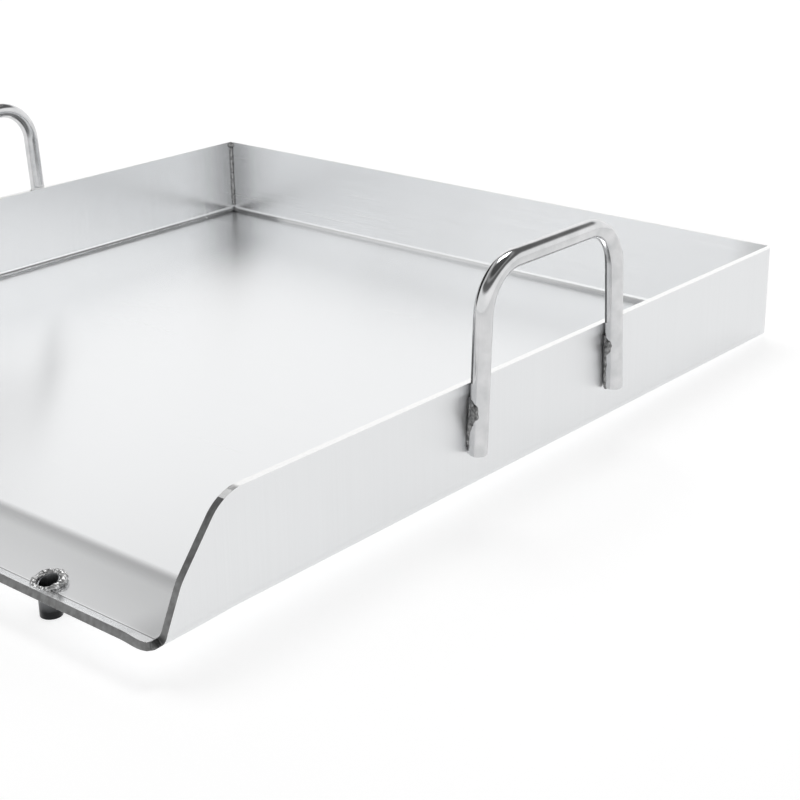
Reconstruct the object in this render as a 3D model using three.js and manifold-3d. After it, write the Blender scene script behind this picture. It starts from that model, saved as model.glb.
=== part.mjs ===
// Drop-on griddle plate: one folded stainless sheet with a falling front gutter, a drain tube
// and two bent-rod lifting handles welded to its side walls.
// Millimetres, +Z up, +X to the right, +Y to the rear. The origin is the middle of the flat underside.
import * as THREE from 'three';
import { mergeVertices } from 'three/addons/utils/BufferGeometryUtils.js';
import Module from 'manifold-3d';

const wasm = await Module();
wasm.setup();

// ---------- driving dimensions ----------
const WIDTH = 492;              // over the outside of the side walls
const DEPTH = 530;              // front lip edge to the outside of the rear wall
const WALL_HEIGHT = 60;         // underside to the top of the walls
const SHEET = 4;                // sheet thickness
const BEND_RADIUS = 4;          // inside radius of the wall folds

const GUTTER_RUN = 52;          // front edge to the line where the cooking floor starts to fall
const VALLEY_RUN = 12.5;        // front edge to the lowest line of the gutter
const VALLEY_DROP = 1.2;        // how far the valley lies below the cooking floor
const LIP_RISE = 3.6;           // valley to the top of the lip edge
const VALLEY_RADIUS = 6;        // softness of the lip fold
const FALL_RADIUS = 120;        // softness of the gutter fold

const REAR_CORNER_RADIUS = 11;  // outside of the ground rear corners
const REAR_FILLET_RADIUS = 3;   // weld fillet inside the rear corners
const FRONT_CORNER_RADIUS = 10; // lip corners, seen from above
const CUT_FOOT = { run: 9, rise: 0.6 }; // foot of a side wall's slanted front, over the lip edge
const CUT_KNEE = { run: 20, rise: 27 }; // where the slant turns, from the lip and the underside
const CUT_KNEE_RADIUS = 30;     // softness of that turn
const CUT_TOP_RUN = 47;         // where the upper slant would meet the wall top
const CUT_TOP_RADIUS = 25;      // rounding between the upper slant and the wall top

const ROD = 10;                 // handle rod diameter
const HANDLE_SPAN = 123;        // between the leg centres at their lower ends
const HANDLE_CENTRE = 14.5;     // middle of the handles, behind the middle of the plate
const LEG_SPLAY = 3 * Math.PI / 180;
const LEG_END_HEIGHT = 22.5;    // lower end of the legs above the underside
const BAR_HEIGHT = 119.5;       // centre of the grip bar above the underside
const HANDLE_BEND = 26;         // bend radius at the centre of the rod

const LEG_WELD_LENGTH = 28;
const LEG_WELD_START = 1;       // lower end of a bead above the end of its leg
const LEG_WELD_TOE = 2.6;       // how far a bead spreads over the wall beside the rod
const LEG_WELD_RIM = 3.5;       // how far a bead climbs the rod, out from the wall

const CORNER_WELD_REACH = 7;    // width of a corner weld along each wall
const CORNER_WELD_START = 9;    // lower end of a corner weld above the underside
const CORNER_WELD_DIP = 1.2;    // how far it stops short of the wall top

const DRAIN_INSET = 84;         // tube centre to the outside of the right wall
const DRAIN_RUN = 13;           // tube centre to the front edge
const TUBE_OUTSIDE = 11;
const TUBE_BORE = 9;
const TUBE_DROP = 13.5;         // tube end below the underside
const TUBE_STAND = 2;           // tube top above the valley
const DRAIN_WELD_WIDTH = 2.7;
const DRAIN_WELD_STAND = 3.4;   // top of the weld ring above the valley

const GAP = 0.3;                // clearance between touching pieces

// ---------- places worked out from them ----------
const right = WIDTH / 2;
const front = -DEPTH / 2;
const rear = DEPTH / 2;
const valleyTop = SHEET - VALLEY_DROP;
const lipSlope = Math.atan(LIP_RISE / VALLEY_RUN);
const beyond = 20;              // how far cutting solids run past what they cut

const brushed = { color: 0xc9cacb, roughness: 0.34, metalness: 1 };
const polished = { color: 0xd2d3d4, roughness: 0.12, metalness: 1 };
const weldMetal = { color: 0x8f8f8e, roughness: 0.5, metalness: 1 };

// ---------- outlines ----------
const at = (x, y) => new THREE.Vector2(x, y);
const corner = (x, y, radius = 0, steps = 6) => ({ at: at(x, y), radius, steps });

// The arc that rounds one corner of an outline, from the side of before to the side of after.
function roundedCorner(before, here, after, radius, steps) {
  const back = before.clone().sub(here).normalize();
  const ahead = after.clone().sub(here).normalize();
  const half = Math.acos(back.dot(ahead)) / 2;
  const centre = back.clone().add(ahead).normalize()
    .multiplyScalar(radius / Math.sin(half)).add(here);
  const setback = radius / Math.tan(half);
  const start = back.multiplyScalar(setback).add(here).sub(centre);
  const end = ahead.multiplyScalar(setback).add(here).sub(centre);
  const turn = Math.atan2(start.cross(end), start.dot(end));
  return Array.from({ length: steps + 1 }, (_, i) => (
    start.clone().rotateAround(at(0, 0), turn * i / steps).add(centre)));
}

// An open path or an outline whose inner corners are rounded by their radius.
function roundedPath(corners) {
  return corners.flatMap((here, i) => (here.radius
    ? roundedCorner(corners[i - 1].at, here.at, corners[i + 1].at, here.radius, here.steps)
    : [here.at]));
}

// The path moved sideways, to its right-hand side, with mitred corners.
function offsetPath(path, distance) {
  const sideOf = (a, b) => at(b.y - a.y, a.x - b.x).normalize();
  return path.map((here, i) => {
    const before = i > 0 ? sideOf(path[i - 1], here) : sideOf(here, path[i + 1]);
    const after = i < path.length - 1 ? sideOf(here, path[i + 1]) : before;
    const mitre = before.clone().add(after).normalize();
    return mitre.multiplyScalar(distance / mitre.dot(before)).add(here);
  });
}

// ---------- solids ----------
const extruded = (outline, length, steps = 1) => (
  new THREE.ExtrudeGeometry(new THREE.Shape(outline), { depth: length, steps, bevelEnabled: false }));

// An outline in (y, z), extruded along X between two places.
function alongX(outline, from, to) {
  const axes = new THREE.Matrix4().makeBasis(new THREE.Vector3(0, 1, 0),
    new THREE.Vector3(0, 0, 1), new THREE.Vector3(1, 0, 0));
  return extruded(outline, to - from).applyMatrix4(axes).translate(from, 0, 0);
}

// An outline in (x, y), extruded along Z between two places.
const alongZ = (outline, from, to) => extruded(outline, to - from).translate(0, 0, from);

// An outline in (x, z), swept rearwards along a path in (y, z) without turning.
function sweptRearwards(outline, path) {
  const geometry = extruded(outline, path.length - 1, path.length - 1);
  const position = geometry.attributes.position;
  for (let i = 0; i < position.count; i += 1) {
    const station = path[path.length - 1 - Math.round(position.getZ(i))];
    position.setXYZ(i, position.getX(i), station.x, position.getY(i) + station.y);
  }
  return geometry;
}

function boxBetween(low, high) {
  const size = high.clone().sub(low);
  const middle = low.clone().add(high).multiplyScalar(0.5);
  return new THREE.BoxGeometry(size.x, size.y, size.z).translate(middle.x, middle.y, middle.z);
}

function solid(geometry) {
  const bare = geometry.clone();
  bare.deleteAttribute('normal');
  bare.deleteAttribute('uv');
  const merged = mergeVertices(bare, 1e-4);
  return new wasm.Manifold(new wasm.Mesh({
    numProp: 3,
    vertProperties: new Float32Array(merged.attributes.position.array),
    triVerts: new Uint32Array(merged.index.array),
  }));
}

function geometryOf(manifold) {
  const mesh = manifold.getMesh();
  const geometry = new THREE.BufferGeometry();
  geometry.setAttribute('position', new THREE.BufferAttribute(mesh.vertProperties, 3));
  geometry.setIndex(new THREE.BufferAttribute(mesh.triVerts, 1));
  geometry.computeVertexNormals();
  return geometry;
}

const part = new THREE.Group();

function addPiece(name, geometry, finish) {
  const mesh = new THREE.Mesh(geometry, new THREE.MeshStandardMaterial(finish));
  mesh.name = name;
  part.add(mesh);
  return mesh;
}

// ---------- the folded sheet ----------
// Upper surface of the floor in side view, from the lip edge to past the rear wall.
const lipEdge = at(front + SHEET * Math.sin(lipSlope), valleyTop + LIP_RISE);
const upperFloor = roundedPath([
  corner(lipEdge.x, lipEdge.y),
  corner(front + VALLEY_RUN, valleyTop, VALLEY_RADIUS, 4),
  corner(front + GUTTER_RUN, SHEET, FALL_RADIUS, 4),
  corner(rear + beyond, SHEET),
]);
const underFloor = offsetPath(upperFloor, SHEET);
const lipUnderEdge = underFloor[0];

// All that lies above a floor path and inside the walls, with the folds and corners rounded.
function trayVolume(inset, floor, bend, frontEdge, frontCorner, rearCorner) {
  const x = right - inset;
  const y = rear - inset;
  const top = WALL_HEIGHT + beyond;
  const channel = roundedPath([
    corner(-x, top), corner(-x, 0, bend), corner(x, 0, bend), corner(x, top)]);
  const pastLip = at(floor[0].x - beyond, floor[0].y + beyond * Math.tan(lipSlope));
  const rearFold = [at(front - 2 * beyond, -beyond), at(y - bend, -beyond),
    ...roundedCorner(at(0, inset), at(y, inset), at(y, top), bend, 6),
    at(y, top), at(front - 2 * beyond, top)];
  const plan = roundedPath([corner(0, frontEdge),
    corner(x, frontEdge, frontCorner, 8), corner(x, y, rearCorner, 8),
    corner(-x, y, rearCorner, 8), corner(-x, frontEdge, frontCorner, 8), corner(0, frontEdge)]);
  return solid(sweptRearwards(channel, [pastLip, ...floor]))
    .intersect(solid(alongX(rearFold, -right - beyond, right + beyond)))
    .intersect(solid(alongZ(plan.slice(0, -1), -beyond, top)));
}

// Everything behind the cut front of the sheet and below the wall tops, in side view.
function trimmedSide() {
  const low = lipUnderEdge.clone().sub(lipEdge).multiplyScalar(beyond / SHEET).add(lipUnderEdge);
  const foot = at(front + CUT_FOOT.run, lipEdge.y + CUT_FOOT.rise);
  return roundedPath([
    corner(low.x, low.y),
    corner(rear + beyond, low.y),
    corner(rear + beyond, WALL_HEIGHT),
    corner(front + CUT_TOP_RUN, WALL_HEIGHT, CUT_TOP_RADIUS, 10),
    corner(front + CUT_KNEE.run, CUT_KNEE.rise, CUT_KNEE_RADIUS, 4),
    corner(foot.x, foot.y),
    corner(lipEdge.x, foot.y),
    corner(lipEdge.x, lipEdge.y),
  ]);
}

const shell = trayVolume(0, underFloor, BEND_RADIUS + SHEET, front,
  FRONT_CORNER_RADIUS, REAR_CORNER_RADIUS)
  .intersect(solid(alongX(trimmedSide(), -right - beyond, right + beyond)))
  .subtract(trayVolume(SHEET, upperFloor, BEND_RADIUS, front - 2 * beyond, 0,
    REAR_FILLET_RADIUS));

// The block round one rear corner: side is 1 on the right and -1 on the left.
function rearCornerBlock(side, margin, top) {
  const inner = side * (right - CORNER_WELD_REACH - margin);
  const outer = side * (right + beyond);
  return solid(boxBetween(
    new THREE.Vector3(Math.min(inner, outer), rear - CORNER_WELD_REACH - margin,
      CORNER_WELD_START - margin),
    new THREE.Vector3(Math.max(inner, outer), rear + beyond, top)));
}

// ---------- drain ----------
const drainX = right - DRAIN_INSET;
const drainY = front + DRAIN_RUN;
const tubeRadius = TUBE_OUTSIDE / 2;

// A closed profile of (radius, height), turned about the tube's axis.
function turnedAtDrain(profile) {
  const closed = [...profile, profile[0]];
  return new THREE.LatheGeometry(closed, 40).rotateX(Math.PI / 2).translate(drainX, drainY, 0);
}

function drainTube() {
  const top = valleyTop + TUBE_STAND;
  return turnedAtDrain([at(TUBE_BORE / 2, -TUBE_DROP), at(tubeRadius, -TUBE_DROP),
    at(tubeRadius, top), at(TUBE_BORE / 2, top)]);
}

// The weld ring sits in the valley, so its underside follows the gutter and the lip.
function drainWeld() {
  const inner = tubeRadius + GAP;
  const middle = inner + DRAIN_WELD_WIDTH / 2;
  const outer = inner + DRAIN_WELD_WIDTH;
  const top = valleyTop + DRAIN_WELD_STAND;
  const shoulder = top - DRAIN_WELD_WIDTH * 0.35;
  const ring = turnedAtDrain([at(inner, -SHEET), at(outer, -SHEET),
    at(outer, valleyTop + DRAIN_WELD_WIDTH * 0.4), at(outer - DRAIN_WELD_WIDTH * 0.15, shoulder),
    at(middle, top), at(inner, shoulder)]);
  const surface = offsetPath(upperFloor, -GAP);
  const below = alongX([...surface, at(rear, -beyond), at(surface[0].x, -beyond)],
    drainX - beyond, drainX + beyond);
  return solid(ring).subtract(solid(below));
}

function drainHole() {
  return turnedAtDrain([at(0, -beyond), at(tubeRadius + GAP, -beyond),
    at(tubeRadius + GAP, beyond), at(0, beyond)]);
}

const sheet = [1, -1].reduce(
  (rest, side) => rest.subtract(rearCornerBlock(side, GAP, WALL_HEIGHT + beyond)), shell)
  .subtract(solid(drainHole()));
addPiece('griddle_pan', geometryOf(sheet), brushed);
addPiece('drain_tube', drainTube(), polished);
addPiece('drain_weld', geometryOf(drainWeld()), weldMetal);

// ---------- handles ----------
const legX = right + GAP + ROD / 2;
const legRun = (BAR_HEIGHT - LEG_END_HEIGHT) * Math.tan(LEG_SPLAY);
const legEnds = {
  front: HANDLE_CENTRE - HANDLE_SPAN / 2,
  rear: HANDLE_CENTRE + HANDLE_SPAN / 2,
};

function handle(side) {
  const route = roundedPath([
    corner(legEnds.front, LEG_END_HEIGHT),
    corner(legEnds.front + legRun, BAR_HEIGHT, HANDLE_BEND, 12),
    corner(legEnds.rear - legRun, BAR_HEIGHT, HANDLE_BEND, 12),
    corner(legEnds.rear, LEG_END_HEIGHT),
  ]).map((p) => new THREE.Vector3(side * legX, p.x, p.y));
  const path = new THREE.CurvePath();
  route.slice(1).forEach((p, i) => path.add(new THREE.LineCurve3(route[i], p)));
  const section = new THREE.Shape().absarc(0, 0, ROD / 2, 0, 2 * Math.PI);
  return new THREE.ExtrudeGeometry(section,
    { steps: 64, curveSegments: 8, extrudePath: path, bevelEnabled: false });
}

// One bead in the cleft between a leg and the wall: end says which leg, face which side of it.
function legWeld(side, end, face) {
  const clear = ROD / 2 + GAP;
  const axis = GAP + ROD / 2;
  const angleAt = (x) => Math.acos((x - axis) / clear);
  const root = angleAt(GAP);
  const rim = angleAt(LEG_WELD_RIM);
  const section = Array.from({ length: 5 }, (_, i) => {
    const angle = root + (rim - root) * i / 4;
    return at(axis + clear * Math.cos(angle), clear * Math.sin(angle));
  });
  const rimAt = section[section.length - 1];
  section.push(at(rimAt.x, rimAt.y + LEG_WELD_TOE * 0.3),
    at(rimAt.x * 0.7, rimAt.y + LEG_WELD_TOE * 0.75), at(GAP, rimAt.y + LEG_WELD_TOE));
  const outline = section.map((p) => at(side * (right + p.x), face * p.y));
  const lean = end === 'front' ? -LEG_SPLAY : LEG_SPLAY;
  return alongZ(outline, LEG_WELD_START, LEG_WELD_START + LEG_WELD_LENGTH)
    .rotateX(lean).translate(0, legEnds[end], LEG_END_HEIGHT);
}

for (const [sideName, side] of [['right', 1], ['left', -1]]) {
  addPiece(`${sideName}_handle`, handle(side), polished);
  for (const end of ['front', 'rear']) {
    for (const [faceName, face] of [['front', -1], ['rear', 1]]) {
      addPiece(`${sideName}_${end}_leg_${faceName}_weld`, legWeld(side, end, face), weldMetal);
    }
  }
  const cornerWeld = shell.intersect(rearCornerBlock(side, 0, WALL_HEIGHT - CORNER_WELD_DIP));
  addPiece(`rear_${sideName}_corner_weld`, geometryOf(cornerWeld), weldMetal);
}

export default part;
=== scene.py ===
"""A welded stainless griddle plate.

It is a folded brushed sheet with two polished rod handles, a drain tube and the welds that hold them."""
import math
import random

import bmesh
import bpy
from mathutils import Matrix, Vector


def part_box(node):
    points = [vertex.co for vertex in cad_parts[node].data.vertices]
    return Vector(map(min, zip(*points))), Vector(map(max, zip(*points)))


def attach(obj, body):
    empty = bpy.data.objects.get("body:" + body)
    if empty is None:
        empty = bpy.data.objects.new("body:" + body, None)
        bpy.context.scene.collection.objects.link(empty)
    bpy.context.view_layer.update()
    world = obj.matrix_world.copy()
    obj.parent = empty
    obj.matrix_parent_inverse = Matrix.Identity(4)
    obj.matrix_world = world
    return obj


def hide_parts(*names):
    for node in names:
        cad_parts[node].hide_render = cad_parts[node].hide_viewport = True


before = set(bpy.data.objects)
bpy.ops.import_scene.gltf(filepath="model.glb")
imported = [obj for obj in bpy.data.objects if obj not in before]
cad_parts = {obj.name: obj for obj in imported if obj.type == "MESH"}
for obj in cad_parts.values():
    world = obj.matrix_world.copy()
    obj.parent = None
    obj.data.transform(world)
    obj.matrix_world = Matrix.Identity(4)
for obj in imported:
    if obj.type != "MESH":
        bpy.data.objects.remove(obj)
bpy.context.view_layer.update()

MM = 0.001

# ---------- sizes, from the frame where it has them ----------
pan_low, pan_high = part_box("griddle_pan")
rod_low, rod_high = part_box("right_handle")
tube_low, tube_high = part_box("drain_tube")

RIGHT = pan_high.x
FRONT = pan_low.y
REAR = pan_high.y
WALL_TOP = pan_high.z

SHEET = 4 * MM
FOLD = 4 * MM                    # inside radius of the wall folds
GUTTER_RUN = 52 * MM             # front edge to the line where the floor starts to fall
FALL_SOFTNESS = 3 * MM           # half the width of that soft fold
GUTTER_STEPS = 8                 # facets of the hollow between that fold and the valley
FALL_SHAPE = 1.7                 # 1 is a straight fall; more is steeper at the fold and flat at the valley
VALLEY_RUN = 8.5 * MM            # front edge to the lowest line of the gutter
VALLEY_DROP = 1.2 * MM
LIP_RISE = 3.6 * MM
LIP_CORNER = 4.7 * MM            # corner of the lip, seen from above, on the upper skin
LIP_FADE_START = 226 * MM        # from here out to the wall fold the lip fades out
CORNER_RUN = 5 * MM              # front edge to where the wall folds are sharpest
CORNER_SHARE = 0.7               # share of the lip's rise left in the corner
SHARP_FOLD = 1.6 * MM            # inside radius of the wall folds at the lip
FOLD_STEPS = 12                  # facets round a wall fold
FADE_STEPS = 5                   # stations along which the lip fades out
VALLEY_SOFTNESS = 1.4 * MM       # half the width of the soft crease in the valley
REAR_CORNER = 11 * MM            # outside of the ground rear corners
DEBURR = 0.5 * MM                # filed inner edge of the cut sheet
OUTER_ROLL = 1.1 * MM            # rounded outer edge of the cut sheet

# the slanted front of a side wall
CUT_FOOT = (10.4 * MM, 0.6 * MM)   # where it starts: back from the front edge, over the lip edge
CUT_BAND = 1.25 * MM             # how far in from the wall's inner face its lowest cut reaches
CUT_KNEE = (20 * MM, 27 * MM)    # where the slant turns: back from the lip, above the underside
CUT_KNEE_RADIUS = 30 * MM
CUT_TOP_RUN = 47 * MM            # where the upper slant would meet the wall top
CUT_TOP_RADIUS = 25 * MM

ROD_RADIUS = 5 * MM
TIP_CHAMFER = 1.4 * MM
LEG_SPLAY = math.radians(3)
HANDLE_BEND = 26 * MM            # at the centre of the rod

BEYOND = 10 * MM                 # how far the blank runs past its cuts
CORNER_CUTS = 10                 # cuts that round a corner, seen from above
SNAP = 1e-6                      # merge distance of a cut
INSIDE, GROUND, OUTSIDE, FILED = range(4)    # the sheet's material places

valley_z = SHEET - VALLEY_DROP
lip_z = valley_z + LIP_RISE
lip_slope = math.atan2(LIP_RISE, VALLEY_RUN)
lip_edge_y = FRONT + SHEET * math.sin(lip_slope)
inner_x = RIGHT - SHEET
inner_y = REAR - SHEET
leg_x = (rod_low.x + rod_high.x) / 2
leg_ends = (rod_low.y + ROD_RADIUS, rod_high.y - ROD_RADIUS)
drain = (tube_low + tube_high) / 2
TUBE_RADIUS = (tube_high.x - tube_low.x) / 2


# ---------- modelling helpers ----------
def only(obj):
    """Selects one object and makes it the active one."""
    bpy.ops.object.select_all(action="DESELECT")
    obj.select_set(True)
    bpy.context.view_layer.objects.active = obj


def start_piece(name):
    """Names the primitive that was just added and opens it in edit mode."""
    obj = bpy.context.active_object
    obj.name = name
    obj.data.name = name
    only(obj)
    bpy.ops.object.transform_apply(location=True, rotation=True, scale=True)
    bpy.ops.object.mode_set(mode="EDIT")
    return obj


def edit(obj):
    only(obj)
    bpy.ops.object.mode_set(mode="EDIT")


def end_edit():
    bpy.ops.object.mode_set(mode="OBJECT")


def pick(kind, rule):
    """In edit mode, selects the verts, edges or faces for which rule(element) is true."""
    bpy.ops.mesh.select_mode(type={"verts": "VERT", "edges": "EDGE", "faces": "FACE"}[kind])
    bpy.ops.mesh.select_all(action="DESELECT")
    data = bpy.context.active_object.data
    work = bmesh.from_edit_mesh(data)
    for element in getattr(work, kind):
        if rule(element):
            element.select_set(True)
    if kind == "verts":
        work.select_flush(True)
    bmesh.update_edit_mesh(data)


def near(a, b, tolerance=0.02 * MM):
    return abs(a - b) < tolerance


def lies_at(element, axis, place):
    return all(near(v.co[axis], place) for v in element.verts)


def cut_off(point, normal, rule=None, fill=False):
    """Cuts away what lies beyond a plane, on all of the mesh or on the picked faces."""
    if rule:
        pick("faces", rule)
    else:
        bpy.ops.mesh.select_all(action="SELECT")
    bpy.ops.mesh.bisect(plane_co=point, plane_no=normal, clear_outer=True, use_fill=fill, threshold=SNAP)


def apply_modifier(obj, kind, **settings):
    only(obj)
    added = obj.modifiers.new(kind.title(), kind)
    for key, value in settings.items():
        setattr(added, key, value)
    bpy.ops.object.modifier_apply(modifier=added.name)


def smooth(obj, angle=30):
    only(obj)
    bpy.ops.object.shade_smooth_by_angle(angle=math.radians(angle))


# ---------- camera ----------
camera_data = bpy.data.cameras.new("camera")
camera_data.lens = 76.544
camera_data.sensor_width = 36
camera = bpy.data.objects.new("camera", camera_data)
bpy.context.scene.collection.objects.link(camera)
camera.location = (0.740362, -0.673675, 0.363515)
camera.rotation_euler = [math.radians(a) for a in (68.6138, 0.7420, 40.4986)]
bpy.context.scene.camera = camera


# ---------- materials ----------
def colour(code):
    """An sRGB hex colour as a linear one."""
    parts = [int(code[i:i + 2], 16) / 255 for i in (0, 2, 4)]
    return [p / 12.92 if p <= 0.04045 else ((p + 0.055) / 1.055) ** 2.4 for p in parts] + [1]


def add_node(material, kind, settings=None, **sockets):
    """Adds a node with its settings, and sets or links its sockets.

    In a socket's name _ stands for a space, and _0 is the first socket."""
    made = material.node_tree.nodes.new(kind)
    for key, value in (settings or {}).items():
        setattr(made, key, value)
    for key, value in sockets.items():
        key = key.strip("_")
        socket = made.inputs[int(key) if key.isdigit() else key.replace("_", " ")]
        if isinstance(value, bpy.types.NodeSocket):
            material.node_tree.links.new(value, socket)
        else:
            socket.default_value = value
    return made


def set_stops(ramp, *stops):
    """Gives a colour ramp its stops, as (place, hex) pairs."""
    elements = ramp.color_ramp.elements
    while len(elements) < len(stops):
        elements.new(0.5)
    for element, (place, code) in zip(elements, stops):
        element.position = place
        element.color = colour(code)


def new_metal(name):
    material = bpy.data.materials.new(name)
    material.use_nodes = True
    shader = material.node_tree.nodes["Principled BSDF"]
    shader.inputs["Metallic"].default_value = 1
    return material, shader


def link(material, out, shader, socket):
    material.node_tree.links.new(out, shader.inputs[socket])


GUTTER_SHADE_RUN = 70             # mm
# painted shade of the gutter, in mm back from the front edge: the lip, the dark crease, the flat of the
# gutter, the soft fold, the floor
GUTTER_PAINTED_SHADE = ((0, "ffffff"), (7.7, "f0f0f0"), (8.47, "626262"), (9.24, "e8e8e8"), (16.8, "e8e8e8"),
                (38.5, "e4e4e4"), (49.7, "c8c8c8"), (56, "ffffff"))


def brushed_stainless(name, dark, light, roughness, cooking_side):
    """Stainless sheet brushed along its width: pale satin with faint streaks along the grain.

    The cooking side also has painted shade: the gutter darker, with a dark line in its crease, and grey
    in the welded rear corners."""
    m, shader = new_metal(name)
    shader.inputs["Anisotropic"].default_value = 0.65
    grain = add_node(m, "ShaderNodeUVMap", {"uv_map": "grain"}).outputs["UV"]
    # brush lines 0.3 mm apart are too fine to show, so they are drawn 1 mm apart and 170 mm long
    lines = add_node(m, "ShaderNodeMapping", Vector=grain, Scale=(1000, 6, 1)).outputs["Vector"]
    streak = add_node(m, "ShaderNodeTexNoise", Vector=lines,
                      Scale=1.0, Detail=4.0, Roughness=0.6).outputs["Fac"]
    # broad bands left by the width of the brush, 12 mm apart
    broad = add_node(m, "ShaderNodeMapping", Vector=grain, Scale=(80, 3, 1)).outputs["Vector"]
    band = add_node(m, "ShaderNodeTexNoise", Vector=broad, Scale=1.0, Detail=2.0).outputs["Fac"]
    both = add_node(m, "ShaderNodeMath", {"operation": "MULTIPLY_ADD"},
                    _0=band, _1=0.3, _2=streak).outputs[0]
    tone = add_node(m, "ShaderNodeValToRGB", Fac=both)
    set_stops(tone, (0.4, dark), (0.9, light))
    base = tone.outputs["Color"]
    if cooking_side:
        place = add_node(m, "ShaderNodeTexCoord").outputs["Object"]
        back = add_node(m, "ShaderNodeSeparateXYZ", Vector=place).outputs["Y"]
        # painted shade over the gutter, from the front edge to just past the line where the floor starts to
        # fall
        run = add_node(m, "ShaderNodeMapRange", Value=back,
                       From_Min=FRONT, From_Max=FRONT + GUTTER_SHADE_RUN * MM).outputs["Result"]
        hollow = add_node(m, "ShaderNodeValToRGB", Fac=run)
        hollow.color_ramp.interpolation = "EASE"
        set_stops(hollow, *((back_mm / GUTTER_SHADE_RUN, code) for back_mm, code in GUTTER_PAINTED_SHADE))
        base = add_node(m, "ShaderNodeMix", {"data_type": "RGBA", "blend_type": "MULTIPLY"},
                        _0=1.0, _6=base, _7=hollow.outputs["Color"]).outputs[2]
        # painted shade in the welded rear corners: grey that fades over 30 mm of the rear wall and 60 mm of
        # the side walls
        folded = add_node(m, "ShaderNodeVectorMath", {"operation": "ABSOLUTE"}, _0=place).outputs[0]
        near_corner = add_node(m, "ShaderNodeMapping", {"vector_type": "TEXTURE"}, Vector=folded,
                             Location=(inner_x, inner_y, 30 * MM),
                             Scale=(30 * MM, 60 * MM, 160 * MM)).outputs["Vector"]
        corner_shade = add_node(m, "ShaderNodeTexGradient", {"gradient_type": "SPHERICAL"},
                        Vector=near_corner).outputs["Fac"]
        grey = add_node(m, "ShaderNodeValToRGB", Fac=corner_shade)
        grey.color_ramp.interpolation = "EASE"
        set_stops(grey, (0.0, "ffffff"), (0.9, "dcdcdc"))
        base = add_node(m, "ShaderNodeMix", {"data_type": "RGBA", "blend_type": "MULTIPLY"},
                        _0=1.0, _6=base, _7=grey.outputs["Color"]).outputs[2]
    link(m, base, shader, "Base Color")
    dull = add_node(m, "ShaderNodeMapRange", Value=both, From_Min=0.35, From_Max=0.95,
                    To_Min=roughness, To_Max=roughness + 0.04)
    link(m, dull.outputs["Result"], shader, "Roughness")
    tangent = add_node(m, "ShaderNodeTangent", {"direction_type": "UV_MAP", "uv_map": "grain"})
    link(m, tangent.outputs["Tangent"], shader, "Tangent")
    bump = add_node(m, "ShaderNodeBump", Strength=0.05, Distance=0.02 * MM, Height=streak)
    link(m, bump.outputs["Normal"], shader, "Normal")
    return m


def ground_edge():
    """Cut edges dressed with a grinder: darker and duller than the sheet, with short cross scratches."""
    m, shader = new_metal("ground_edge")
    place = add_node(m, "ShaderNodeTexCoord").outputs["Object"]
    # grinder patches 4 mm wide over scratches 0.8 mm apart
    patch = add_node(m, "ShaderNodeTexNoise", Vector=place,
                     Scale=250.0, Detail=3.0, Roughness=0.6).outputs["Fac"]
    tone = add_node(m, "ShaderNodeValToRGB", Fac=patch)
    set_stops(tone, (0.35, "686868"), (0.68, "848585"))
    link(m, tone.outputs["Color"], shader, "Base Color")
    dull = add_node(m, "ShaderNodeMapRange", Value=patch,
                    From_Min=0.3, From_Max=0.7, To_Min=0.32, To_Max=0.44)
    link(m, dull.outputs["Result"], shader, "Roughness")
    scratch = add_node(m, "ShaderNodeTexNoise", Vector=place, Scale=1250.0, Detail=2.0).outputs["Fac"]
    bump = add_node(m, "ShaderNodeBump", Strength=0.3, Distance=0.05 * MM, Height=scratch)
    link(m, bump.outputs["Normal"], shader, "Normal")
    return m


def filed_edge():
    """Edges rounded with a fine file and sanded wall tops: smooth and brighter than the sheet."""
    m, shader = new_metal("filed_edge")
    place = add_node(m, "ShaderNodeTexCoord").outputs["Object"]
    # file marks 1.5 mm apart
    marks = add_node(m, "ShaderNodeTexNoise", Vector=place, Scale=650.0, Detail=2.0).outputs["Fac"]
    tone = add_node(m, "ShaderNodeValToRGB", Fac=marks)
    set_stops(tone, (0.3, "e8e8e8"), (0.7, "f6f6f6"))
    link(m, tone.outputs["Color"], shader, "Base Color")
    dull = add_node(m, "ShaderNodeMapRange", Value=marks,
                    From_Min=0.3, From_Max=0.7, To_Min=0.16, To_Max=0.24)
    link(m, dull.outputs["Result"], shader, "Roughness")
    return m


def bright_rod():
    """Drawn stainless rod, buffed: near mirror, with the fine pitting that speckles its reflections."""
    m, shader = new_metal("bright_rod")
    place = add_node(m, "ShaderNodeTexCoord").outputs["Object"]
    # pits 0.5 mm across
    pits = add_node(m, "ShaderNodeTexNoise", Vector=place, Scale=2000.0, Detail=2.0).outputs["Fac"]
    worn = add_node(m, "ShaderNodeTexNoise", Vector=place, Scale=120.0, Detail=3.0).outputs["Fac"]
    tone = add_node(m, "ShaderNodeValToRGB", Fac=worn)
    set_stops(tone, (0.3, "c6c7c8"), (0.7, "d6d6d7"))
    link(m, tone.outputs["Color"], shader, "Base Color")
    dull = add_node(m, "ShaderNodeMapRange", Value=worn,
                    From_Min=0.3, From_Max=0.7, To_Min=0.10, To_Max=0.13)
    link(m, dull.outputs["Result"], shader, "Roughness")
    bump = add_node(m, "ShaderNodeBump", Strength=0.25, Distance=0.04 * MM, Height=pits)
    link(m, bump.outputs["Normal"], shader, "Normal")
    return m


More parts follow.
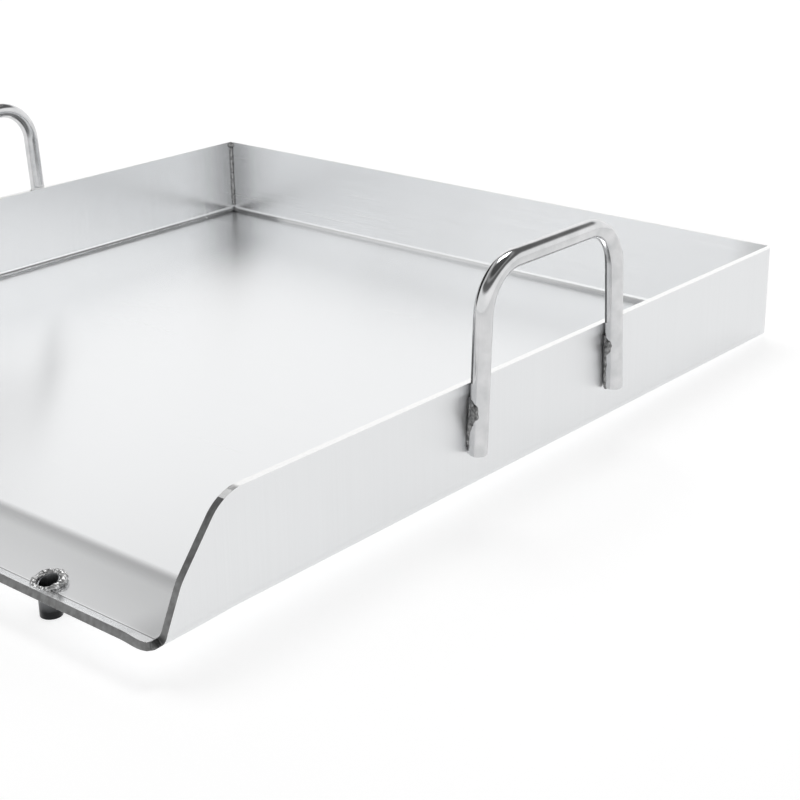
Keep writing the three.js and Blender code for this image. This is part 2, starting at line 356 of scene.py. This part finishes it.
def weld_steel(name, dark, light, size):
    """Stainless weld metal left as laid or lightly ground: grey oxide with bright high spots."""
    m, shader = new_metal(name)
    place = add_node(m, "ShaderNodeTexCoord").outputs["Object"]
    scale = add_node(m, "ShaderNodeTexNoise", Vector=place,
                     Scale=1 / size, Detail=3.0, Roughness=0.65).outputs["Fac"]
    tone = add_node(m, "ShaderNodeValToRGB", Fac=scale)
    set_stops(tone, (0.36, dark), (0.64, light))
    link(m, tone.outputs["Color"], shader, "Base Color")
    dull = add_node(m, "ShaderNodeMapRange", Value=scale,
                    From_Min=0.3, From_Max=0.7, To_Min=0.5, To_Max=0.24)
    link(m, dull.outputs["Result"], shader, "Roughness")
    bump = add_node(m, "ShaderNodeBump", Strength=0.5, Distance=0.15 * MM, Height=scale)
    link(m, bump.outputs["Normal"], shader, "Normal")
    return m


def dark_ended_tube():
    """Plain stainless tube, grey above and darker towards the open end, nearly black there."""
    m, shader = new_metal("dark_ended_tube")
    place = add_node(m, "ShaderNodeTexCoord").outputs["Object"]
    height = add_node(m, "ShaderNodeSeparateXYZ", Vector=place).outputs["Z"]
    cloud = add_node(m, "ShaderNodeTexNoise", Vector=place, Scale=300.0, Detail=3.0).outputs["Fac"]
    up = add_node(m, "ShaderNodeMapRange", Value=height,
                  From_Min=tube_low.z, From_Max=tube_high.z).outputs["Result"]
    mixed = add_node(m, "ShaderNodeMath", {"operation": "MULTIPLY_ADD"},
                     _0=cloud, _1=0.18, _2=up).outputs[0]
    tone = add_node(m, "ShaderNodeValToRGB", Fac=mixed)
    set_stops(tone, (0.28, "2a2a2b"), (0.62, "77787a"))
    link(m, tone.outputs["Color"], shader, "Base Color")
    shader.inputs["Roughness"].default_value = 0.32
    bump = add_node(m, "ShaderNodeBump", Strength=0.2, Distance=0.05 * MM, Height=cloud)
    link(m, bump.outputs["Normal"], shader, "Normal")
    return m


polished_rod = bright_rod()
leg_weld_metal = weld_steel("leg_weld_metal", "585858", "9a9a9a", 1.8 * MM)
drain_weld_metal = weld_steel("drain_weld_metal", "8c8c8c", "f8f8f8", 1.3 * MM)
corner_weld_metal = weld_steel("corner_weld_metal", "7c7c7c", "c8c8c8", 1.5 * MM)
tube_metal = dark_ended_tube()


# ---------- the folded sheet ----------
def raise_lip(blank_front):
    """Folds the lip up; towards the side walls it fades out, and there the wall folds turn sharp."""
    near_end = FRONT + CORNER_RUN
    tighter = FOLD - SHARP_FOLD
    bpy.ops.mesh.select_all(action="SELECT")
    bpy.ops.mesh.bisect(plane_co=(0, near_end, 0), plane_no=(0, 1, 0), threshold=SNAP)
    fade_run = inner_x - FOLD - LIP_FADE_START
    fades = [LIP_FADE_START + fade_run * i / FADE_STEPS for i in range(FADE_STEPS + 1)]
    for x in fades[:-1]:
        for side in (1, -1):
            bpy.ops.mesh.select_all(action="SELECT")
            bpy.ops.mesh.bisect(plane_co=(side * x, 0, 0), plane_no=(1, 0, 0), threshold=SNAP)
    for y in (near_end, blank_front):
        full = (FRONT + VALLEY_RUN - y) * LIP_RISE / VALLEY_RUN
        drop = VALLEY_DROP * (FRONT + VALLEY_RUN - y) / (VALLEY_RUN + BEYOND)
        pick("verts", lambda v: near(v.co.y, y) and abs(v.co.x) < fades[0] + 0.1 * MM)
        bpy.ops.transform.translate(value=(0, 0, full - drop))
        for i, x in enumerate(fades[1:], 1):
            share = CORNER_SHARE + (1 - CORNER_SHARE) * (1 + math.cos(math.pi * i / FADE_STEPS)) / 2
            at_station = lambda v: near(abs(v.co.x), x) or (i == FADE_STEPS and abs(v.co.x) > x)
            pick("verts", lambda v: near(v.co.y, y) and at_station(v))
            bpy.ops.transform.translate(value=(0, 0, full * share - drop))
        floor_z = SHEET + full * CORNER_SHARE - VALLEY_DROP
        for i in range(FOLD_STEPS + 1):
            turn = math.pi / 2 * i / FOLD_STEPS
            for side in (1, -1):
                x = side * (inner_x - FOLD * (1 - math.sin(turn)))
                z = floor_z + FOLD * (1 - math.cos(turn))
                pick("verts", lambda v: near(v.co.y, y) and near(v.co.x, x) and near(v.co.z, z))
                bpy.ops.transform.translate(value=(side * tighter * (1 - math.sin(turn)), 0,
                                                   -tighter * (1 - math.cos(turn))))


def folded_skin():
    """The upper skin of the sheet: the floor with its falling gutter and lip, and three folded walls."""
    bpy.ops.object.select_all(action="DESELECT")
    blank_front = FRONT - BEYOND
    bpy.ops.mesh.primitive_plane_add(size=1, location=(0, (inner_y + blank_front) / 2, SHEET))
    bpy.context.active_object.scale = (2 * inner_x, inner_y - blank_front, 1)
    obj = start_piece("pan_sheet")
    walls = lambda e: lies_at(e, 0, inner_x) or lies_at(e, 0, -inner_x) or lies_at(e, 1, inner_y)
    pick("edges", walls)
    bpy.ops.mesh.extrude_edges_move(TRANSFORM_OT_translate={"value": (0, 0, WALL_TOP - SHEET + BEYOND)})
    pick("edges", lambda e: walls(e) and lies_at(e, 2, SHEET))
    bpy.ops.mesh.bevel(offset=FOLD, segments=FOLD_STEPS, profile=0.5, affect="EDGES")
    shares = [i / GUTTER_STEPS for i in range(GUTTER_STEPS + 1)]
    station = lambda share: FRONT + VALLEY_RUN + (GUTTER_RUN - VALLEY_RUN) * share
    for share in shares:
        bpy.ops.mesh.select_all(action="SELECT")
        bpy.ops.mesh.bisect(plane_co=(0, station(share), 0), plane_no=(0, 1, 0), threshold=SNAP)
    for share in shares:
        pick("verts", lambda v: near(v.co.y, station(share)))
        bpy.ops.transform.translate(value=(0, 0, -VALLEY_DROP * (1 - share ** FALL_SHAPE)))
    raise_lip(blank_front)
    pick("edges", lambda e: lies_at(e, 1, FRONT + GUTTER_RUN))
    bpy.ops.mesh.bevel(offset=FALL_SOFTNESS, segments=8, profile=0.5, affect="EDGES")
    pick("edges", lambda e: lies_at(e, 1, FRONT + VALLEY_RUN))
    bpy.ops.mesh.bevel(offset=VALLEY_SOFTNESS, segments=5, profile=0.5, affect="EDGES")
    end_edit()
    return obj


def slope_normal(angle):
    """Outward normal of the slanted front where it climbs at this angle."""
    return Vector((0, -math.sin(angle), math.cos(angle)))


def round_off(corner, radius, first, last, steps, rule):
    """Rounds the slanted front at a corner with planes that touch an arc."""
    half = (first - last) / 2
    centre = Vector(corner) - slope_normal((first + last) / 2) * (radius / math.cos(half))
    for i in range(1, steps):
        normal = slope_normal(first + (last - first) * i / steps)
        cut_off(centre + normal * radius, normal, rule)


def trim_blank(obj):
    """Cuts the lip edge, the lip's rounded corners, the slanted wall fronts and the wall tops."""
    edit(obj)
    cut_off((0, lip_edge_y, 0), (0, -1, 0))
    for side in (1, -1):
        centre = Vector((side * (inner_x - LIP_CORNER), lip_edge_y + LIP_CORNER, 0))
        for i in range(1, CORNER_CUTS):
            turn = math.pi / 2 * i / CORNER_CUTS
            normal = Vector((side * math.sin(turn), -math.cos(turn), 0))
            cut_off(centre + normal * LIP_CORNER, normal)
    cut_off((0, 0, WALL_TOP), (0, 0, 1))

    side_wall = lambda f: all(near(abs(v.co.x), inner_x) for v in f.verts)
    foot = Vector((0, FRONT + CUT_FOOT[0], lip_z + CUT_FOOT[1]))
    knee = Vector((0, FRONT + CUT_KNEE[0], CUT_KNEE[1]))
    top = Vector((0, FRONT + CUT_TOP_RUN, WALL_TOP))
    lower = math.atan2(knee.z - foot.z, knee.y - foot.y)
    upper = math.atan2(top.z - knee.z, top.y - knee.y)
    # the lowest cut also takes the upper part of the wall fold, and leaves the lip beside it whole
    low_part = lambda f: all(abs(v.co.x) > inner_x - CUT_BAND for v in f.verts)
    ahead = lambda f: (f.calc_center_median() - foot).dot(slope_normal(lower)) > 0
    pick("faces", low_part)
    bpy.ops.mesh.bisect(plane_co=foot, plane_no=slope_normal(lower), threshold=SNAP)
    pick("faces", lambda f: low_part(f) and ahead(f))
    bpy.ops.mesh.delete(type="FACE")
    cut_off(knee, slope_normal(upper), side_wall)
    round_off(knee, CUT_KNEE_RADIUS, lower, upper, steps=4, rule=side_wall)
    round_off(top, CUT_TOP_RADIUS, upper, 0, steps=12, rule=side_wall)
    end_edit()


def grind_rear_corners(obj):
    """Rounds the outside of the two rear corners, where the welds were ground off."""
    edit(obj)
    for side in (1, -1):
        centre = Vector((side * (RIGHT - REAR_CORNER), REAR - REAR_CORNER, 0))
        for i in range(1, CORNER_CUTS):
            turn = math.pi / 2 * i / CORNER_CUTS
            normal = Vector((side * math.cos(turn), math.sin(turn), 0))
            cut_off(centre + normal * REAR_CORNER, normal, fill=True)
    end_edit()
    slight = 0.05
    for face in obj.data.polygons:
        corner = abs(face.center.x) > RIGHT - REAR_CORNER and face.center.y > REAR - REAR_CORNER
        outward = face.normal.x * math.copysign(1, face.center.x)
        if corner and outward > slight and face.normal.y > slight and abs(face.normal.z) < slight:
            face.material_index = OUTSIDE


def faces_outside(face):
    """True for a face of the sheet's outer side: below the floor or outside the walls."""
    place, normal = face.calc_center_median(), face.normal
    beside = normal.x * place.x > 0.5 * abs(place.x)
    behind = normal.y > 0.5 and place.y > inner_y
    return normal.z < -0.3 or beside or behind


def file_edges(obj):
    """Breaks the sharp edges of the cut: a wide roll on the outer side, a fine one on the inner side."""
    edit(obj)
    sharp = math.radians(50)
    for outside, width in ((True, OUTER_ROLL), (False, DEBURR)):
        def rim(e):
            if len(e.link_faces) != 2 or e.calc_face_angle_signed() < sharp:
                return False
            skins = [f for f in e.link_faces if f.material_index in (INSIDE, OUTSIDE)]
            cuts = [f for f in e.link_faces if f.material_index == GROUND]
            return len(skins) == 1 and len(cuts) == 1 and faces_outside(skins[0]) == outside
        pick("edges", rim)
        bpy.ops.mesh.bevel(offset=width, segments=3, profile=0.5, affect="EDGES", material=FILED,
                           clamp_overlap=True)
    end_edit()
    for face in obj.data.polygons:
        if face.material_index == GROUND and face.normal.z > 0.9:
            face.material_index = FILED      # the wall tops were sanded bright


def bore_drain_hole(obj):
    bpy.ops.object.select_all(action="DESELECT")
    tight = 0.2 * MM                 # the hole's edge hides inside the tube's wall
    bpy.ops.mesh.primitive_cylinder_add(vertices=48, radius=TUBE_RADIUS - tight, depth=10 * SHEET,
                                        location=(drain.x, drain.y, 0))
    drill = bpy.context.active_object
    apply_modifier(obj, "BOOLEAN", operation="DIFFERENCE", solver="EXACT", object=drill)
    bpy.data.objects.remove(drill)


def lay_grain(obj):
    """A UV map in metres on the unfolded sheet: V runs along the brushing, U across it."""
    layer = obj.data.uv_layers.new(name="grain")
    for face in obj.data.polygons:
        place = face.center
        beside = inner_x - abs(place.x) < inner_y - place.y
        side = math.copysign(1, place.x)
        for loop in face.loop_indices:
            p = obj.data.vertices[obj.data.loops[loop].vertex_index].co
            climb = p.z - SHEET
            layer.data[loop].uv = (p.y, p.x + side * climb) if beside else (p.y + climb, p.x)


def build_pan():
    pan = folded_skin()
    trim_blank(pan)
    edit(pan)
    bpy.ops.mesh.select_all(action="SELECT")
    bpy.ops.mesh.remove_doubles(threshold=0.03 * MM)
    bpy.ops.mesh.normals_make_consistent(inside=False)
    end_edit()
    floor = max(pan.data.polygons, key=lambda p: p.area)
    if floor.normal.z < 0:           # the skin faces up, so that the sheet thickens downwards
        edit(pan)
        bpy.ops.mesh.select_all(action="SELECT")
        bpy.ops.mesh.flip_normals()
        end_edit()
    for material in (brushed_stainless("brushed_inside", "f0f1f2", "f5f6f7", 0.24, cooking_side=True),
                     ground_edge(),
                     # the outer side's colour is a darker copy of the inside's: painted shade on the outer
                     # walls and underside
                     brushed_stainless("brushed_outside_shaded", "e6e7e8", "e9eaeb", 0.38, cooking_side=False),
                     filed_edge()):
        pan.data.materials.append(material)
    apply_modifier(pan, "SOLIDIFY", thickness=SHEET, offset=-1, use_even_offset=True,
                   use_quality_normals=True, material_offset_rim=GROUND, material_offset=OUTSIDE)
    grind_rear_corners(pan)
    file_edges(pan)
    bore_drain_hole(pan)
    lay_grain(pan)
    smooth(pan, 40)
    apply_modifier(pan, "WEIGHTED_NORMAL", weight=90, keep_sharp=True)
    return pan


# ---------- handles ----------
def build_handle(side, name):
    """One rod bent to a bow: it is drawn up one leg, round two bends and down the other leg."""
    x = side * leg_x
    end_z = rod_low.z
    bar_z = rod_high.z - ROD_RADIUS
    lean = (bar_z - end_z) * math.tan(LEG_SPLAY)
    up = Vector((0, math.sin(LEG_SPLAY), math.cos(LEG_SPLAY)))
    turn = math.pi / 2 - LEG_SPLAY
    tangent = HANDLE_BEND * math.tan(turn / 2)
    leg = (bar_z - end_z) / math.cos(LEG_SPLAY) - tangent
    bar = leg_ends[1] - leg_ends[0] - 2 * lean - 2 * tangent
    start = Vector((x, leg_ends[0], end_z))
    bpy.ops.object.select_all(action="DESELECT")
    bpy.ops.mesh.primitive_circle_add(vertices=40, radius=ROD_RADIUS, location=start,
                                      rotation=(-LEG_SPLAY, 0, 0))
    obj = start_piece(name)

    def ring_at(point, direction):
        pick("verts", lambda v: abs((v.co - point).dot(direction)) < 0.01 * MM)

    def draw_out(point, direction, length, steps):
        for _ in range(steps):
            ring_at(point, direction)
            bpy.ops.mesh.extrude_edges_move(TRANSFORM_OT_translate={"value": direction * length / steps})
            point = point + direction * length / steps
        return point

    def bend_round(point, direction):
        middle = point + Vector((0, direction.z, -direction.y)) * HANDLE_BEND
        ring_at(point, direction)
        bpy.ops.mesh.spin(steps=20, angle=turn, center=middle, axis=(1, 0, 0))
        onward = Vector((0, direction.y * math.cos(turn) + direction.z * math.sin(turn),
                         direction.z * math.cos(turn) - direction.y * math.sin(turn)))
        arm = point - middle
        swung = Vector((0, arm.y * math.cos(turn) + arm.z * math.sin(turn),
                        arm.z * math.cos(turn) - arm.y * math.sin(turn)))
        return middle + swung, onward

    point = draw_out(start, up, leg, 4)
    point, along = bend_round(point, up)
    point = draw_out(point, along, bar, 4)
    point, down = bend_round(point, along)
    finish = draw_out(point, down, leg, 4)
    for tip, direction in ((start, up), (finish, down)):
        ring_at(tip, direction)
        bpy.ops.mesh.edge_face_add()
        bpy.ops.mesh.select_mode(type="EDGE")
        bpy.ops.mesh.bevel(offset=TIP_CHAMFER, segments=3, profile=0.6, affect="EDGES")
    bpy.ops.mesh.select_all(action="SELECT")
    bpy.ops.mesh.remove_doubles(threshold=0.005 * MM)
    bpy.ops.mesh.normals_make_consistent(inside=False)
    end_edit()
    obj.data.materials.append(polished_rod)
    smooth(obj, 50)
    return obj


# ---------- weld beads ----------
def build_bead(name, blobs, material, voxel=0.35 * MM, rough=0.22 * MM, grain=1.8 * MM):
    """A weld bead: overlapping drops of metal run together, then made uneven."""
    drops = []
    for centre, radius in blobs:
        bpy.ops.object.select_all(action="DESELECT")
        bpy.ops.mesh.primitive_uv_sphere_add(segments=14, ring_count=9, radius=radius, location=centre)
        drops.append(bpy.context.active_object)
    bpy.ops.object.select_all(action="DESELECT")
    for drop in drops:
        drop.select_set(True)
    bpy.context.view_layer.objects.active = drops[0]
    bpy.ops.object.join()
    obj = start_piece(name)
    end_edit()
    apply_modifier(obj, "REMESH", mode="VOXEL", voxel_size=voxel)
    apply_modifier(obj, "SMOOTH", factor=0.5, iterations=2)
    clouds = bpy.data.textures.new(name, "CLOUDS")
    clouds.noise_scale = grain
    clouds.noise_depth = 2
    apply_modifier(obj, "DISPLACE", texture=clouds, texture_coords="LOCAL",
                   strength=rough * 2, mid_level=0.5)
    obj.data.materials.append(material)
    only(obj)
    bpy.ops.object.shade_smooth()
    return obj


LEG_BEAD_HEIGHT = 30.5 * MM


def leg_bead_blobs(side, end, face, profile, draw):
    """Drops up the cleft between a leg and the wall.

    The profile gives, at heights above the leg's end, the drops' radius and their reach out from the wall."""
    blobs = []
    steps = 22
    for i in range(steps + 1):
        height = LEG_BEAD_HEIGHT * i / steps
        below, above = next((a, b) for a, b in zip(profile, profile[1:]) if height <= b[0])
        share = (height - below[0]) / (above[0] - below[0])
        radius, reach = (p + (q - p) * share for p, q in zip(below[1:], above[1:]))
        radius *= draw.uniform(0.88, 1.14)
        z = rod_low.z + height
        lean = height * math.tan(LEG_SPLAY) * (1 if end == 0 else -1)
        axis_y = leg_ends[end] + lean
        # the drop lies against the rod, as far out from the wall as its reach
        out = reach + draw.uniform(-0.25, 0.25) * MM
        off = math.sqrt(max(ROD_RADIUS ** 2 - (out - ROD_RADIUS) ** 2, 0))
        y = axis_y + face * off * 0.86
        blobs.append(((side * (RIGHT + out), y, z), radius))
        # a smaller one fills the cleft behind it
        blobs.append(((side * (RIGHT + out * 0.35), axis_y + face * ROD_RADIUS * 0.6, z), radius * 0.6))
    return blobs


def build_drain_ring(draw):
    """The rough ring of weld round the tube's mouth; it stands highest on the side away from the lip."""
    blobs = []
    count = 30
    for i in range(count):
        turn = 2 * math.pi * i / count
        back = math.sin(turn)
        radius = (draw.uniform(1.45, 2.0) + 0.25 * back) * MM
        out = TUBE_RADIUS + 1.5 * MM + draw.uniform(-0.2, 0.3) * MM
        z = valley_z + (1.0 + 1.1 * back) * MM + draw.uniform(-0.2, 0.2) * MM
        blobs.append(((drain.x + out * math.cos(turn), drain.y + out * math.sin(turn), z), radius))
    return build_bead("drain_ring", blobs, drain_weld_metal, rough=0.4 * MM, grain=1.3 * MM)


def build_drain_tube():
    """A short open pipe, its mouth cut on the slant."""
    bpy.ops.object.select_all(action="DESELECT")
    bpy.ops.mesh.primitive_circle_add(vertices=48, radius=TUBE_RADIUS,
                                      location=(drain.x, drain.y, tube_low.z))
    obj = start_piece("drain_pipe")
    bpy.ops.mesh.select_all(action="SELECT")
    uncut = tube_high.z - tube_low.z + 2.2 * MM
    bpy.ops.mesh.extrude_edges_move(TRANSFORM_OT_translate={"value": (0, 0, uncut)})
    slope = math.radians(18)
    cut_off((drain.x, drain.y, tube_high.z - 0.8 * MM), (0, -math.sin(slope), math.cos(slope)))
    bpy.ops.mesh.select_all(action="SELECT")
    bpy.ops.mesh.normals_make_consistent(inside=False)
    end_edit()
    obj.data.materials.append(tube_metal)
    apply_modifier(obj, "SOLIDIFY", thickness=1 * MM, offset=-1, use_even_offset=True)
    apply_modifier(obj, "BEVEL", width=0.3 * MM, segments=2,
                   limit_method="ANGLE", angle_limit=math.radians(50))
    smooth(obj, 40)
    return obj


# out from the inner corner along x and y, below the bead's end, radius, in mm
CORNER_LUMPS = ((-0.5, -0.5, 0.4, 1.4), (-2.2, -0.2, 0.9, 1.3), (-0.2, -2.2, 1.1, 1.3),
                (-0.1, -0.1, 0.2, 0.9))


def corner_blobs(side, draw):
    """A thin bead up the inside of a rear corner, ending in lumps at the wall top."""
    blobs = []
    steps = 46
    inset = 0.6 * MM
    low, high = 9 * MM, WALL_TOP - 1.6 * MM
    for i in range(steps + 1):
        z = low + (high - low) * i / steps
        radius = draw.uniform(0.9, 1.2) * MM
        blobs.append(((side * (inner_x - inset), inner_y - inset, z), radius))
    for out_x, out_y, down, radius in CORNER_LUMPS:
        blobs.append(((side * (inner_x + out_x * MM), inner_y + out_y * MM, high - down * MM), radius * MM))
    return blobs


def finish_piece(obj, slot, *nodes):
    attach(obj, "root")
    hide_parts(*nodes)


# ---------- the whole plate ----------
# height above the leg's end, drop radius, reach out from the wall, in mm
FRONT_PROFILE = ((0, 0.4, 0.5), (5, 0.6, 0.6), (10, 1.0, 1.4), (17, 1.8, 3.4), (22, 2.2, 5.6),
                 (26, 2.0, 5.8), (29, 1.4, 4.0), (31, 0.8, 2.0))
REAR_PROFILE = ((0, 0.9, 2.2), (4, 1.2, 2.4), (9, 1.1, 2.0), (14, 1.4, 2.7), (19, 1.3, 2.3),
                (23, 2.0, 4.2), (27, 2.1, 5.6), (29.5, 1.4, 3.6), (31, 0.8, 1.6))
BACK_PROFILE = ((0, 0.9, 1.0), (8, 1.3, 1.6), (16, 1.7, 2.0), (24, 1.6, 1.8), (31, 0.9, 1.0))


DRAW_SEED = 4                    # settles the uneven sizes of the weld drops


def in_mm(profile):
    return [tuple(v * MM for v in row) for row in profile]


finish_piece(build_pan(), "brushed_sheet", "griddle_pan")
draw = random.Random(DRAW_SEED)
for side_name, side in (("right", 1), ("left", -1)):
    finish_piece(build_handle(side, f"{side_name}_rod"), "polished_rod", f"{side_name}_handle")
    for end, end_name in enumerate(("front", "rear")):
        for face, face_name in ((-1, "front"), (1, "rear")):
            profile = BACK_PROFILE if face > 0 else (FRONT_PROFILE, REAR_PROFILE)[end]
            name = f"{side_name}_{end_name}_leg_{face_name}"
            drops = leg_bead_blobs(side, end, face, in_mm(profile), draw)
            bead = build_bead(f"{name}_bead", drops, leg_weld_metal)
            finish_piece(bead, "weld_metal", f"{name}_weld")
    drops = corner_blobs(side, draw)
    corner = build_bead(f"rear_{side_name}_corner_bead", drops, corner_weld_metal, rough=0.2 * MM)
    finish_piece(corner, "weld_metal", f"rear_{side_name}_corner_weld")
finish_piece(build_drain_tube(), "tube_steel", "drain_tube")
finish_piece(build_drain_ring(draw), "weld_metal", "drain_weld")


# ---------- studio ----------
TABLE_WIDTH = 60                 # metres, so that its edges lie out of sight
TABLE_GAP = 0.1 * MM             # between the table and the tube's end
FLOOR_GLOW = 0.685
ROOM_LIGHT = 1.14
FLAG = (-0.995, 0.05, 0.05)      # direction of the black flag
FLAG_EDGE = (0.80, 0.90)         # cosines of the angles from it where the flag begins and is full


def build_floor():
    """A wide pale table that the plate rests on, by the end of its drain tube and its rear fold."""
    fold_foot_y = REAR - (FOLD + SHEET)
    slope = math.atan2(-tube_low.z, fold_foot_y - drain.y)
    bpy.ops.object.select_all(action="DESELECT")
    bpy.ops.mesh.primitive_plane_add(size=TABLE_WIDTH, location=(0, drain.y, tube_low.z - TABLE_GAP),
                                     rotation=(slope, 0, 0))
    floor = start_piece("table")
    end_edit()
    m = bpy.data.materials.new("white_table")
    m.use_nodes = True
    shader = m.node_tree.nodes["Principled BSDF"]
    place = add_node(m, "ShaderNodeTexCoord").outputs["Object"]
    mottle = add_node(m, "ShaderNodeTexNoise", Vector=place, Scale=6.0, Detail=2.0).outputs["Fac"]
    tone = add_node(m, "ShaderNodeValToRGB", Fac=mottle)
    set_stops(tone, (0.3, "bababa"), (0.7, "bcbcbc"))
    link(m, tone.outputs["Color"], shader, "Base Color")
    shader.inputs["Roughness"].default_value = 0.9
    shader.inputs["Specular IOR Level"].default_value = 0.0
    shader.inputs["Emission Color"].default_value = (1, 1, 1, 1)
    shader.inputs["Emission Strength"].default_value = FLOOR_GLOW
    floor.data.materials.append(m)


def softbox(name, place, aim, size, power):
    """A rectangular lamp, with its size in metres and its power in watts."""
    data = bpy.data.lights.new(name, "AREA")
    data.shape = "RECTANGLE"
    data.size, data.size_y = size
    data.energy = power
    lamp = bpy.data.objects.new(name, data)
    bpy.context.scene.collection.objects.link(lamp)
    lamp.location = place
    lamp.rotation_euler = (Vector(aim) - Vector(place)).to_track_quat("-Z", "Y").to_euler()


def build_room():
    """White walls under a darker ceiling with a paler band round it, and a black flag at the left."""
    world = bpy.data.worlds.new("studio")
    bpy.context.scene.world = world
    world.use_nodes = True
    tree = world.node_tree
    sky = tree.nodes["Background"]
    where = add_node(world, "ShaderNodeTexCoord").outputs["Generated"]
    height = add_node(world, "ShaderNodeSeparateXYZ", Vector=where).outputs["Z"]
    ramp = add_node(world, "ShaderNodeValToRGB", Fac=height)
    ramp.color_ramp.interpolation = "EASE"
    set_stops(ramp, (0.0, "ffffff"), (0.44, "ffffff"), (0.60, "6a6a6a"), (0.74, "646464"),
              (0.83, "9c9c9c"), (0.91, "525252"))
    # the flag draws a dark line down the left of the rods
    beside = add_node(world, "ShaderNodeVectorMath", {"operation": "DOT_PRODUCT"},
                      _0=where, _1=FLAG).outputs["Value"]
    flag = add_node(world, "ShaderNodeMapRange", Value=beside,
                    From_Min=FLAG_EDGE[0], From_Max=FLAG_EDGE[1], To_Min=1.0, To_Max=0.04)
    shade = add_node(world, "ShaderNodeVectorMath", {"operation": "SCALE"}, _0=ramp.outputs["Color"],
                     Scale=flag.outputs["Result"]).outputs[0]
    tree.links.new(shade, sky.inputs["Color"])
    sky.inputs["Strength"].default_value = ROOM_LIGHT


build_floor()
build_room()
softbox("overhead", (-0.6, 0.8, 2.2), (0, 0, 0), (1.2, 0.8), 18)
# fills the fold under the rear wall
softbox("left", (-1.65, -0.25, 1.85), (0, 0, 0), (2.2, 0.8), 3.0)
bpy.context.scene.view_settings.view_transform = "Standard"
